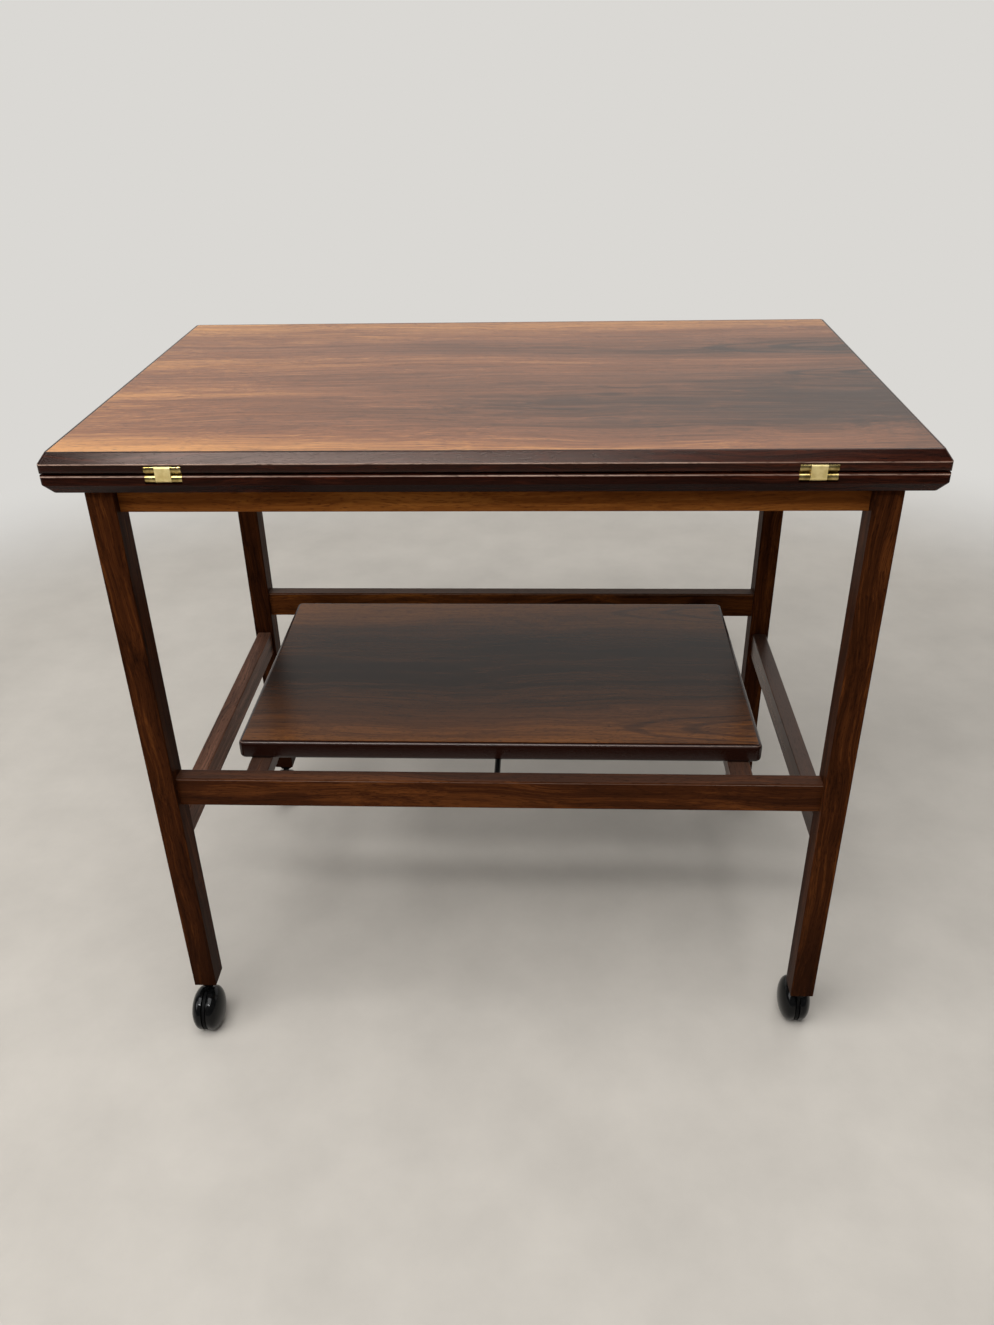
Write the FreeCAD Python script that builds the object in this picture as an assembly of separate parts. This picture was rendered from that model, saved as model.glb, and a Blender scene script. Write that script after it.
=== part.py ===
import FreeCAD, Part
import os

# Tea trolley with a flip-over top, in millimetres.
# Two equal leaves lie on each other. The lower leaf slides back on two runners by half its depth,
# then the upper leaf swings forward on two link hinges, and the open top is centred on the frame.
# X runs along the length, Y to the back and Z up, from the floor at the centre.

V = FreeCAD.Vector

# Leaves
top_length = 730.0
top_depth = 454.0
leaf_thickness = 17.0
leaf_gap = 0.6             # between the closed leaves, and between their edges when open
chamfer_width = 6.0
chamfer_height = 8.5
lipping_width = 8.0
leaf_corner = 4.0          # upright corners of a leaf, in plan
leaf_arris = 1.0

# Frame
end_overhang = 30.0        # of the leaves past the legs, at the ends
side_overhang = 11.0       # the same at the front and back
leg_width = 24.0           # along X
leg_depth = 26.0           # along Y
leg_length = 574.0
leg_arris = 1.2
rail_arris = 1.2

apron_height = 23.0
apron_thickness = 16.0
apron_setback = 9.0        # front and back aprons, behind the outer leg faces
end_apron_setback = 4.0
long_stretcher_z = 298.5
long_stretcher_height = 32.0
long_stretcher_thickness = 16.0
long_stretcher_setback = 7.0
side_stretcher_z = 244.0
side_stretcher_height = 30.0
side_stretcher_thickness = 17.0
side_stretcher_setback = 3.5

# Joinery
tenon_thickness = 9.0
tenon_shoulder = 4.0       # above and below a tenon
apron_tenon = 6.0
stretcher_tenon = 14.0
rail_tenon = 8.0
tenon_clear = 0.1
tenon_end_clear = 0.5

# Tray
tray_end_space = 71.5      # from the end of the frame to the tray
tray_side_space = 61.0     # from the front of the frame to the tray
tray_thickness = 20.5
tray_rise = 18.0           # underside of the tray above that of the long stretchers
tray_corner = 6.5
tray_edge_round = 4.5
cross_rail_width = 22.0
cross_rail_height = 16.0
cross_rail_inset = 22.5    # middle of a rail from the end of the tray
tray_rod_d = 6.0
tray_rod_end = 9.0         # length of the rod held in each stretcher
tray_rod_drop = 0.3        # below the tray

# Slide of the lower leaf
runner_width = 15.0
runner_height = 20.0
runner_end_clear = 1.0
runner_side_clear = 0.4
tongue_depth = 5.0
tongue_height = 6.0
tongue_drop = 7.0          # below the leaf
groove_clear = 0.2

# Screws
screw_d = 3.6
screw_head_d = 7.0
screw_head_h = 2.2
screw_grip = 9.0           # length held in the board
screw_clear = 0.05
screw_tip_clear = 0.5
tray_screw_y = 105.0
runner_screw_inset = 18.0

# Link hinges
hinge_inset = 103.0        # middle of a hinge from the end of the leaf
hinge_length = 30.5
hinge_axis_inset = 3.8     # pin axis behind the edge and off the meeting face
hinge_barrel_r = 3.7
link_width = 13.0
link_r = 3.6
link_side_clear = 0.15
link_back_clear = 0.3
hinge_pin_d = 2.4
hinge_pin_recess = 0.4     # pin ends, inside the barrel
hinge_plate_t = 2.2
hinge_plate_depth = 22.0   # from the edge of the leaf
hinge_seat_clear = 0.1
hinge_screw_d = 2.6
hinge_screw_head_d = 4.8
hinge_screw_length = 10.0
hinge_screw_x = 9.0
hinge_screw_back = 5.0     # from the back of the plate

# Casters
caster_height = 56.0       # floor to the leg
wheel_d = 48.0
wheel_pair_width = 34.0
wheel_web_gap = 0.7
wheel_tread = 2.5
wheel_shoulder_width = 7.5
wheel_shoulder_drop = 4.5
wheel_hub_d = 17.0
web_thickness = 3.0
web_d = 47.0
caster_trail = 14.8
caster_axle_d = 5.0
axle_cap = 5.0             # wheel left outside the end of the axle
running_clear = 0.05
boss_d = 17.0
boss_height = 5.6
stem_d = 8.0
stem_length = 33.0
socket_wall = 1.5
socket_depth = 38.0
socket_flange_d = 19.0
socket_flange_t = 1.2
socket_clear = 0.05
swivel_gap = 0.3           # caster boss under the socket flange

# Places that follow from the sizes
frame_length = top_length - 2 * end_overhang
frame_depth = top_depth - 2 * side_overhang
tray_length = frame_length - 2 * tray_end_space
tray_depth = frame_depth - 2 * tray_side_space
tray_z = long_stretcher_z + tray_rise
cross_rail_x = tray_length / 2 - cross_rail_inset
hinge_x = top_length / 2 - hinge_inset
leg_z = caster_height
leaf_z = leg_z + leg_length
seam_z = leaf_z + leaf_thickness
upper_z = seam_z + leaf_gap
half_length = frame_length / 2
half_depth = frame_depth / 2
leg_inner_x = half_length - leg_width
leg_inner_y = half_depth - leg_depth
front_y = -top_depth / 2
stretcher_inner_y = half_depth - long_stretcher_setback - long_stretcher_thickness
slide_travel = top_depth / 2
hinge_y = front_y + hinge_axis_inset
lower_pin_z = seam_z - hinge_axis_inset
upper_pin_z = upper_z + hinge_axis_inset
leg_x = half_length - leg_width / 2
leg_y = half_depth - leg_depth / 2


def block(x0, x1, y0, y1, z0, z1):
    """Box between the given faces, in either order."""
    low = V(min(x0, x1), min(y0, y1), min(z0, z1))
    return Part.makeBox(abs(x1 - x0), abs(y1 - y0), abs(z1 - z0), low)


def rod(radius, start, direction, length):
    """Round bar from a start point."""
    return Part.makeCylinder(radius, length, start, direction)


def along(shape, direction):
    """Straight edges of a shape that run along a direction."""
    found = []
    for edge in shape.Edges:
        if edge.Curve.TypeId == "Part::GeomLine":
            run = edge.Vertexes[1].Point - edge.Vertexes[0].Point
            if run.cross(direction).Length < 1e-6:
                found.append(edge)
    return found


def eased(shape, direction, radius):
    """Shape with the arrises along a direction rounded."""
    return shape.makeFillet(radius, along(shape, direction))


def extruded(points, direction):
    """Prism on a closed outline of straight lines."""
    outline = Part.makePolygon(points + points[:1])
    return Part.Face(outline).extrude(direction)


def group(shapes):
    """Several loose pieces of one kind."""
    return Part.makeCompound(shapes)


def mirrored_x(shape):
    return shape.mirror(V(0, 0, 0), V(1, 0, 0))


def mirrored_y(shape):
    return shape.mirror(V(0, 0, 0), V(0, 1, 0))


def screw(head, direction, diameter, head_diameter, head_height, length):
    """Countersunk wood screw from the middle of its head."""
    profile = Part.makePolygon([
        V(0, 0, 0), V(head_diameter / 2, 0, 0), V(diameter / 2, 0, head_height),
        V(diameter / 2, 0, length), V(0, 0, length), V(0, 0, 0)])
    body = Part.Face(profile).revolve(V(0, 0, 0), V(0, 0, 1), 360)
    body.Placement = FreeCAD.Placement(head, FreeCAD.Rotation(V(0, 0, 1), direction))
    return body


def screw_hole(head, direction, diameter, head_diameter, head_height, length):
    """Room for a screw, with its countersink."""
    return screw(head, direction, diameter + 2 * screw_clear, head_diameter + 2 * screw_clear,
                 head_height, length + screw_tip_clear)


# Rails with stub tenons

def tenon_box(rail, axis, length, clear, end_clear):
    """Tenon through a rail along X or Y, standing out by its length at both ends."""
    b = rail.BoundBox
    over = length + end_clear
    half = tenon_thickness / 2 + clear
    z0 = b.ZMin + tenon_shoulder - clear
    z1 = b.ZMax - tenon_shoulder + clear
    if axis == "x":
        mid = (b.YMin + b.YMax) / 2
        return block(b.XMin - over, b.XMax + over, mid - half, mid + half, z0, z1)
    mid = (b.XMin + b.XMax) / 2
    return block(mid - half, mid + half, b.YMin - over, b.YMax + over, z0, z1)


def tenoned(rail, axis, length):
    """Rail with its tenons, and the cutter for their mortises."""
    direction = V(1, 0, 0) if axis == "x" else V(0, 1, 0)
    body = eased(rail, direction, rail_arris)
    body = body.fuse(tenon_box(rail, axis, length, 0, 0)).removeSplitter()
    return body, tenon_box(rail, axis, length, tenon_clear, tenon_end_clear)


apron_z = leaf_z - apron_height
apron_y = half_depth - apron_setback
apron_front_rail = block(-leg_inner_x, leg_inner_x, -apron_y, -apron_y + apron_thickness, apron_z, leaf_z)
apron_front, apron_front_mortise = tenoned(apron_front_rail, "x", apron_tenon)

end_apron_x = half_length - end_apron_setback
end_apron_inner_x = end_apron_x - apron_thickness
end_apron_rail = block(-end_apron_x, -end_apron_inner_x, -leg_inner_y, leg_inner_y, apron_z, leaf_z)
apron_left, apron_left_mortise = tenoned(end_apron_rail, "y", apron_tenon)

stretcher_y = half_depth - long_stretcher_setback
stretcher_front_rail = block(-leg_inner_x, leg_inner_x, -stretcher_y, -stretcher_inner_y,
                             long_stretcher_z, long_stretcher_z + long_stretcher_height)
stretcher_front, stretcher_front_mortise = tenoned(stretcher_front_rail, "x", stretcher_tenon)

side_x = half_length - side_stretcher_setback
stretcher_left_rail = block(-side_x, -side_x + side_stretcher_thickness, -leg_inner_y, leg_inner_y,
                            side_stretcher_z, side_stretcher_z + side_stretcher_height)
stretcher_left, stretcher_left_mortise = tenoned(stretcher_left_rail, "y", stretcher_tenon)

cross_rail = block(-cross_rail_x - cross_rail_width / 2, -cross_rail_x + cross_rail_width / 2,
                   -stretcher_inner_y, stretcher_inner_y, tray_z - cross_rail_height, tray_z)
tray_rail_left, tray_rail_mortise = tenoned(cross_rail, "y", rail_tenon)

# Legs: one leg with its mortises and caster hole, mirrored to the other corners

socket_r = stem_d / 2 + running_clear + socket_wall
socket_hole = rod(socket_r + socket_clear, V(-leg_x, -leg_y, leg_z - 1), V(0, 0, 1), socket_depth + 1)
leg = block(-half_length, -leg_inner_x, -half_depth, -leg_inner_y, leg_z, leaf_z)
leg = eased(leg, V(0, 0, 1), leg_arris)
for cutter in (apron_front_mortise, apron_left_mortise, stretcher_front_mortise,
               stretcher_left_mortise, socket_hole):
    leg = leg.cut(cutter)

# Tie rod under the tray, held in blind holes of the long stretchers

tray_rod_r = tray_rod_d / 2
tray_rod_z = tray_z - tray_rod_drop - tray_rod_r
rod_end_y = stretcher_inner_y + tray_rod_end
tray_rod = rod(tray_rod_r, V(0, -rod_end_y, tray_rod_z), V(0, 1, 0), 2 * rod_end_y)
tray_rod_hole = rod(tray_rod_r + running_clear, V(0, -rod_end_y - tenon_end_clear, tray_rod_z),
                    V(0, 1, 0), 2 * (rod_end_y + tenon_end_clear))
stretcher_front = stretcher_front.cut(tray_rod_hole)
for cutter in (tray_rail_mortise, mirrored_x(tray_rail_mortise)):
    stretcher_front = stretcher_front.cut(cutter)

# Tray: a board with rounded corners and edges, screwed from below

tray = block(-tray_length / 2, tray_length / 2, -tray_depth / 2, tray_depth / 2,
             tray_z, tray_z + tray_thickness)
tray = eased(tray, V(0, 0, 1), tray_corner)
rim = []
for face in tray.Faces:
    if abs(face.normalAt(0, 0).z) > 0.9:
        rim.extend(face.Edges)
tray = tray.makeFillet(tray_edge_round, rim)

tray_screw_length = cross_rail_height + screw_grip
tray_screws = []
for x in (-cross_rail_x, cross_rail_x):
    for y in (-tray_screw_y, tray_screw_y):
        seat = V(x, y, tray_z - cross_rail_height)
        tray_screws.append(screw(seat, V(0, 0, 1), screw_d, screw_head_d, screw_head_h, tray_screw_length))
        hole = screw_hole(seat, V(0, 0, 1), screw_d, screw_head_d, screw_head_h, tray_screw_length)
        tray = tray.cut(hole)
        tray_rail_left = tray_rail_left.cut(hole)

# Runners: bars under the front half of the lower leaf, their tongues in grooves of the end aprons

runner_length = 2 * leg_inner_y - slide_travel - 2 * runner_end_clear
runner_y0 = -leg_inner_y + runner_end_clear
runner_y1 = runner_y0 + runner_length
runner_x = end_apron_inner_x - runner_side_clear
tongue_z = leaf_z - tongue_drop - tongue_height
runner = block(-runner_x, -runner_x + runner_width, runner_y0, runner_y1, leaf_z - runner_height, leaf_z)
runner = eased(runner, V(0, 1, 0), rail_arris)
tongue = block(-runner_x - tongue_depth, -runner_x + runner_width / 2, runner_y0, runner_y1,
               tongue_z, tongue_z + tongue_height)
runner_left = runner.fuse(tongue).removeSplitter()

groove_end = runner_side_clear + tongue_depth + groove_clear
groove = block(-end_apron_inner_x + runner_side_clear, -runner_x - groove_end, -leg_inner_y, leg_inner_y,
               tongue_z - groove_clear, tongue_z + tongue_height + groove_clear)
apron_left = apron_left.cut(groove)

runner_screw_x = runner_x - runner_width / 2
runner_screw_length = runner_height + screw_grip
runner_screws = []
runner_holes = []
for x in (-runner_screw_x, runner_screw_x):
    for y in (runner_y0 + runner_screw_inset, runner_y1 - runner_screw_inset):
        seat = V(x, y, leaf_z - runner_height)
        size = (screw_d, screw_head_d, screw_head_h, runner_screw_length)
        runner_screws.append(screw(seat, V(0, 0, 1), *size))
        runner_holes.append(screw_hole(seat, V(0, 0, 1), *size))
for hole in runner_holes:
    runner_left = runner_left.cut(hole)

# Link hinges, drawn for the lower leaf at the left and mirrored across the seam and the centre

hinge_back_y = front_y + hinge_plate_depth
link_room = link_width / 2 + link_side_clear
link_back_y = hinge_y + link_r + link_back_clear
barrel = rod(hinge_barrel_r, V(-hinge_x - hinge_length / 2, hinge_y, lower_pin_z), V(1, 0, 0), hinge_length)
plate = block(-hinge_x - hinge_length / 2, -hinge_x + hinge_length / 2, hinge_y, hinge_back_y,
              seam_z - hinge_plate_t, seam_z)
barrel_top = block(-hinge_x - hinge_length / 2, -hinge_x + hinge_length / 2, hinge_y,
                   hinge_y + hinge_barrel_r, lower_pin_z, seam_z - hinge_plate_t / 2)
link_slot = block(-hinge_x - link_room, -hinge_x + link_room, front_y - 1, link_back_y,
                  lower_pin_z - hinge_barrel_r - 1, seam_z + 1)
pin_bore = rod(hinge_pin_d / 2 + running_clear, V(-hinge_x - hinge_length / 2, hinge_y, lower_pin_z),
               V(1, 0, 0), hinge_length)
hinge_plate = barrel.fuse(barrel_top).fuse(plate).removeSplitter()
hinge_plate = hinge_plate.cut(link_slot).cut(pin_bore)

pin_length = hinge_length - 2 * hinge_pin_recess
hinge_pin = rod(hinge_pin_d / 2, V(-hinge_x - pin_length / 2, hinge_y, lower_pin_z), V(1, 0, 0), pin_length)

hinge_screw_y = hinge_back_y - hinge_screw_back
hinge_screws = []
hinge_screw_holes = []
for x in (-hinge_x - hinge_screw_x, -hinge_x + hinge_screw_x):
    seat = V(x, hinge_screw_y, seam_z)
    size = (hinge_screw_d, hinge_screw_head_d, hinge_plate_t / 2, hinge_screw_length)
    hinge_screws.append(screw(seat, V(0, 0, -1), *size))
    hinge_screw_holes.append(screw_hole(seat, V(0, 0, -1), *size))
for hole in hinge_screw_holes:
    hinge_plate = hinge_plate.cut(hole)

seat_half = hinge_length / 2 + hinge_seat_clear
hinge_pocket = block(-hinge_x - seat_half, -hinge_x + seat_half, front_y - 1, link_back_y + hinge_seat_clear,
                     lower_pin_z - hinge_barrel_r - hinge_seat_clear, seam_z + 1)
plate_recess = block(-hinge_x - seat_half, -hinge_x + seat_half, front_y, hinge_back_y + hinge_seat_clear,
                     seam_z - hinge_plate_t, seam_z + 1)
leaf_seats = [hinge_pocket, plate_recess] + hinge_screw_holes
leaf_seats = leaf_seats + [mirrored_x(seat) for seat in leaf_seats]

# The link: a bar with round ends on the two pins
link_start = -hinge_x - link_width / 2
link = block(link_start, link_start + link_width, hinge_y - link_r, hinge_y + link_r,
             lower_pin_z, upper_pin_z)
for z in (lower_pin_z, upper_pin_z):
    link = link.fuse(rod(link_r, V(link_start, hinge_y, z), V(1, 0, 0), link_width))
link = link.removeSplitter()
for z in (lower_pin_z, upper_pin_z):
    pin_room = rod(hinge_pin_d / 2 + running_clear, V(link_start, hinge_y, z), V(1, 0, 0), link_width)
    link = link.cut(pin_room)

# Leaves: a chamfered board, its hinged arris rounded about the pin, cut into a panel and mitred lippings


def rounded_outline(length, depth, z):
    """Rectangle with rounded corners, at a height."""
    slab = block(-length / 2, length / 2, -depth / 2, depth / 2, z, z + leaf_thickness)
    slab = eased(slab, V(0, 0, 1), leaf_corner)
    for face in slab.Faces:
        if abs(face.CenterOfMass.z - z) < 1e-6:
            return face.OuterWire


def lower_leaf_board():
    """Whole lower leaf, chamfered on the underside, with eased arrises and a round on the hinged one."""
    arris_z = leaf_z + chamfer_height
    outline = rounded_outline(top_length, top_depth, arris_z)
    inner = rounded_outline(top_length - 2 * chamfer_width, top_depth - 2 * chamfer_width, leaf_z)
    slab = Part.Face(outline).extrude(V(0, 0, seam_z - arris_z))
    board = slab.fuse(Part.makeLoft([outline, inner], True, True)).removeSplitter()
    rims = []
    for edge in board.Edges:
        if edge.BoundBox.ZLength < 1e-6:
            rims.append(edge)
    board = board.makeFillet(leaf_arris, rims)
    waste = block(-top_length, top_length, front_y - 1, hinge_y, lower_pin_z, seam_z + 1)
    kept = rod(hinge_axis_inset, V(-top_length, hinge_y, lower_pin_z), V(1, 0, 0), 2 * top_length)
    return board.cut(waste.cut(kept))


def leaf_pieces(board, seats):
    """Panel and the front, back, left and right lippings of a leaf."""
    b = board.BoundBox
    height = V(0, 0, b.ZMax - b.ZMin)
    x1, y1 = top_length / 2, top_depth / 2
    x0, y0 = x1 - lipping_width, y1 - lipping_width
    z = b.ZMin
    panel = board.common(block(-x0, x0, -y0, y0, b.ZMin, b.ZMax))
    front = extruded([V(-x1, -y1, z), V(x1, -y1, z), V(x0, -y0, z), V(-x0, -y0, z)], height)
    left = extruded([V(-x1, -y1, z), V(-x0, -y0, z), V(-x0, y0, z), V(-x1, y1, z)], height)
    pieces = [panel]
    for strip in (front, mirrored_y(front), left, mirrored_x(left)):
        pieces.append(board.common(strip))
    finished = []
    for piece in pieces:
        for seat in seats:
            piece = piece.cut(seat)
        finished.append(piece)
    return finished


def turned_over(shape):
    """Mirror image across the middle of the seam."""
    return shape.mirror(V(0, 0, seam_z + leaf_gap / 2), V(0, 0, 1))


lower_board = lower_leaf_board()
lower_pieces = leaf_pieces(lower_board, leaf_seats + runner_holes)
upper_pieces = leaf_pieces(turned_over(lower_board), [turned_over(seat) for seat in leaf_seats])

# Casters: two domed wheels on one axle, a thin web between them, a stem in the leg's socket

wheel_r = wheel_d / 2
axle_r = caster_axle_d / 2
wheel_in_x = web_thickness / 2 + wheel_web_gap
wheel_out_x = wheel_pair_width / 2
axle_half = wheel_out_x - axle_cap
boss_top = leg_z - socket_flange_t - swivel_gap
boss_z = boss_top - boss_height
axle_z = wheel_r


def wheel():
    """Right wheel of a caster about the X axis: flat inside, straight tread, domed outside."""
    tread_x = wheel_in_x + wheel_tread
    shoulder_x = tread_x + wheel_shoulder_width
    outline = [V(wheel_in_x, 0, 0), V(wheel_in_x, 0, wheel_r), V(tread_x, 0, wheel_r),
               V(shoulder_x, 0, wheel_r - wheel_shoulder_drop), V(wheel_out_x, 0, wheel_hub_d / 2),
               V(wheel_out_x, 0, 0)]
    solid = Part.Face(Part.makePolygon(outline + outline[:1])).revolve(V(0, 0, 0), V(1, 0, 0), 360)
    return solid.cut(rod(axle_r + running_clear, V(0, 0, 0), V(1, 0, 0), axle_half + tenon_end_clear))


def caster_parts():
    """Stem, yoke, wheels and axle of a caster that trails to the front of its stem at the origin."""
    axle_centre = V(0, -caster_trail, axle_z)
    stem = rod(stem_d / 2, V(0, 0, boss_top), V(0, 0, 1), stem_length)
    boss = rod(boss_d / 2, V(0, 0, boss_z), V(0, 0, 1), boss_height)
    web = rod(web_d / 2, axle_centre - V(web_thickness / 2, 0, 0), V(1, 0, 0), web_thickness)
    half = web_thickness / 2
    neck = block(-half, half, -caster_trail, boss_d / 2 - web_thickness, axle_z, boss_z + boss_height / 2)
    yoke = web.fuse(neck).fuse(boss).removeSplitter()
    yoke = yoke.cut(rod(axle_r + running_clear, axle_centre - V(web_thickness, 0, 0),
                        V(1, 0, 0), 2 * web_thickness))
    axle = rod(axle_r, axle_centre - V(axle_half, 0, 0), V(1, 0, 0), 2 * axle_half)
    right = wheel()
    left = mirrored_x(right)
    for disc in (left, right):
        disc.translate(axle_centre)
    return stem, yoke, group([left, right]), axle


socket = rod(socket_r, V(0, 0, leg_z), V(0, 0, 1), socket_depth)
socket = socket.fuse(rod(socket_flange_d / 2, V(0, 0, leg_z - socket_flange_t), V(0, 0, 1), socket_flange_t))
socket = socket.removeSplitter()
socket = socket.cut(rod(stem_d / 2 + running_clear, V(0, 0, leg_z - socket_flange_t - 1), V(0, 0, 1),
                        socket_depth + socket_flange_t + 2))

# Corner, X sign, Y sign, and the turn of its caster about the stem
corners = [("front_left", -1, -1, 0), ("front_right", 1, -1, 180),
           ("back_left", -1, 1, 0), ("back_right", 1, 1, 180)]

nodes = {
    "apron_front": apron_front,
    "apron_back": mirrored_y(apron_front),
    "apron_left": apron_left,
    "apron_right": mirrored_x(apron_left),
    "stretcher_front": stretcher_front,
    "stretcher_back": mirrored_y(stretcher_front),
    "stretcher_left": stretcher_left,
    "stretcher_right": mirrored_x(stretcher_left),
    "tray_rail_left": tray_rail_left,
    "tray_rail_right": mirrored_x(tray_rail_left),
    "tray_rod": tray_rod,
    "tray_board": tray,
    "tray_screws": group(tray_screws),
    "runner_left": runner_left,
    "runner_right": mirrored_x(runner_left),
    "runner_screws": group(runner_screws),
    "hinge_links": group([link, mirrored_x(link)]),
}

piece_names = ("panel", "lipping_front", "lipping_back", "lipping_left", "lipping_right")
for name, lower, upper in zip(piece_names, lower_pieces, upper_pieces):
    nodes["lower_leaf_" + name] = lower
    nodes["upper_leaf_" + name] = upper

nodes["lower_hinge_plates"] = group([hinge_plate, mirrored_x(hinge_plate)])
nodes["lower_hinge_pins"] = group([hinge_pin, mirrored_x(hinge_pin)])
nodes["lower_hinge_screws"] = group(hinge_screws + [mirrored_x(s) for s in hinge_screws])
for name in ("hinge_plates", "hinge_pins", "hinge_screws"):
    nodes["upper_" + name] = turned_over(nodes["lower_" + name])

sockets = []
for corner, sx, sy, turn in corners:
    shape = leg
    if sx > 0:
        shape = mirrored_x(shape)
    if sy > 0:
        shape = mirrored_y(shape)
    nodes["leg_" + corner] = shape
    place = V(sx * leg_x, sy * leg_y, 0)
    fitted = socket.copy()
    fitted.translate(place)
    sockets.append(fitted)
    for name, shape in zip(("stem", "yoke", "wheels", "axle"), caster_parts()):
        shape.rotate(V(0, 0, 0), V(0, 0, 1), turn)
        shape.translate(place)
        nodes["caster_" + corner + "_" + name] = shape
nodes["caster_sockets"] = group(sockets)

os.makedirs("parts", exist_ok=True)
for name, shape in nodes.items():
    shape.exportStep("parts/" + name + ".step")
print(len(nodes), "nodes")
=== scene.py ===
import math
from typing import NamedTuple

import bmesh
import bpy
from mathutils import Matrix, Vector


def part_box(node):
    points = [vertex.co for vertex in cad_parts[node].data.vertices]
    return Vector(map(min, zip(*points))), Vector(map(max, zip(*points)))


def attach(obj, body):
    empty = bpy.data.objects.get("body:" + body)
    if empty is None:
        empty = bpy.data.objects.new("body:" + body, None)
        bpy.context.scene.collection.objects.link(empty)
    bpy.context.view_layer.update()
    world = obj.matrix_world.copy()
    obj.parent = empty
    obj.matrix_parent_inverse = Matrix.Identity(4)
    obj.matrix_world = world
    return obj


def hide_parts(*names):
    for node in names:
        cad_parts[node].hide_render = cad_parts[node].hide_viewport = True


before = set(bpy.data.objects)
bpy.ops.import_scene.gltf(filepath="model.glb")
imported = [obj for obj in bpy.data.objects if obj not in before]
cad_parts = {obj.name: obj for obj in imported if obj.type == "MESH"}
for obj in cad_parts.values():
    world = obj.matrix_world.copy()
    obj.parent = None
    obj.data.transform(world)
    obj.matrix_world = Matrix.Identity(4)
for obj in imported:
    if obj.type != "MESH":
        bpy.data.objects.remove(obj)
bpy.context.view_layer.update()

bl_info = {
    "name": "Flip-top tea trolley",
    "version": (1, 0, 0),
    "blender": (4, 5, 0),
    "location": "View3D > Sidebar > Trolley",
    "description": "Finishes the trolley in rosewood, brass and black, in a plain studio",
    "category": "Object",
}

CORNERS = ("front_left", "front_right", "back_left", "back_right")
LEAF_SIDES = ("front", "back", "left", "right")
MM = 0.001
TOUCH = 0.01 * MM          # two places this close are the same
SMOOTH_ANGLE = math.radians(35)    # edges flatter than this are shaded smooth
WHITE = (1, 1, 1)

# Turn that lays the grain, which the pattern has along X, along another axis
GRAIN_TURN = {"X": (0, 0, 0), "Y": (0, 0, -math.pi / 2), "Z": (0, math.pi / 2, 0)}

# Layers of the figure, each finer than the one before: length along the grain in metres,
# the timber's property for the width, and the detail of the noise
FIGURE_LAYERS = ((0.6, "band", 2.0), (0.40, "streak", 4.0), (0.22, "line", 3.0), (0.12, "hair", 2.0))
# Share of each layer in a board of solid timber, in the veneer and in the long stretchers
SOLID_FIGURE = (0.26, 0.34, 0.26, 0.14)
VENEER_FIGURE = (0.30, 0.17, 0.29, 0.24)
RAIL_FIGURE = (0.42, 0.30, 0.18, 0.10)
# Where in the log each kind of board is cut, which gives it a figure of its own. Boards with heartwood
# stay in the middle of the log, seen from above.
LOG_PLACES = {
    "top": (0, 0, 0), "inner leaf": (0, 0, 0.9), "tray": (0, 0, 0),
    "long lipping": (1.7, 2.2, 0.6), "short lipping": (4.7, 1.2, 2.6),
    "leg": (0.3, 5.2, 1.1), "long stretcher": (2.3, 1.2, 3.1), "side stretcher": (1.3, 4.2, 2.1),
    "apron": (6.3, 3.2, 0.1), "end apron": (5.3, 0.2, 4.1),
}
FIGURE_SPREAD = 0.16       # how far the layers' sum goes to either side of its middle
WANDER = (0.35, 0.15, 0.15)        # metres over which the grain wanders, along and across
NOISE_REACH = 0.25         # how far noise goes to either side of its middle
HEART_FIGURE = 0.7         # share of the figure that shows over the heartwood
ARCH_LINES = 4             # nested lines in an arched figure
ARCH_SHADE = 0.3           # how much darker those lines are
PORE_WIDTH = 0.8 * MM      # about twice a real pore, so that it shows
PORE_SHADE = 0.6           # how far a pore goes towards the darkest tone
LEAST_HIGHLIGHT = 0.35          # painted highlight on an arris between the streaks, as a share of that on them
UPWARD = (0.7, 0.95)       # upward part of its normal where the painted sheen on a face starts, and where it is full
STREAK_SHEEN = (-0.06, 0.08)       # change of roughness with the streaks
WOOD_IOR = 1.45
GRAIN_DEPTH = 0.4 * MM
LIPPING_JOINT = 0.6 * MM   # soft edge between a board and its lipping

# How dark the heartwood is across a board, from its front edge at 0 to its back edge at 1
TOP_HEART_LEFT = (
    (0.0, 0.0), (0.08, 0.16), (0.18, 0.44), (0.28, 0.42), (0.37, 0.27), (0.46, 0.49), (0.53, 0.40),
    (0.62, 0.24), (0.70, 0.42), (0.76, 0.45), (0.82, 0.35), (0.90, 0.18), (1.0, -0.28))
TOP_HEART_RIGHT = (
    (0.0, 0.66), (0.08, 0.82), (0.18, 0.90), (0.28, 1.12), (0.37, 1.16), (0.46, 0.94), (0.53, 0.62),
    (0.62, 0.64), (0.70, 1.04), (0.76, 0.80), (0.82, 0.70), (0.90, 0.56), (1.0, 0.14))
TRAY_HEART = ((0.0, 0.26), (0.12, 0.38), (0.3, 0.78), (0.5, 0.95), (0.7, 0.72), (0.85, 0.28), (1.0, 0.05))

# Arched figure: its middle along and across the board, half its length and half its width, in metres
TOP_ARCHES = ((0.44, 0.10, 0.27, 0.035), (0.46, -0.01, 0.22, 0.03))
TRAY_ARCHES = ((0.33, -0.12, 0.24, 0.03), (0.33, 0.12, 0.24, 0.03))

# Sizes of the patterns in the metals and the plastic
BRASS_PATCH = 6 * MM
RUB_MARK = (10 * MM, 0.4 * MM, 0.4 * MM)
RUB_DEPTH = 0.1 * MM
STEEL_SPOT = 3 * MM
SCUFF = 4 * MM
STEEL_SHADE = 0.55         # brightness of a dull spot, as a share of the steel's
SCUFF_GREY = 0.006         # how much paler a scuff is than the black
SCUFF_DULL = 0.15          # how much rougher it is
WHEEL_SEGMENTS = 96

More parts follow.
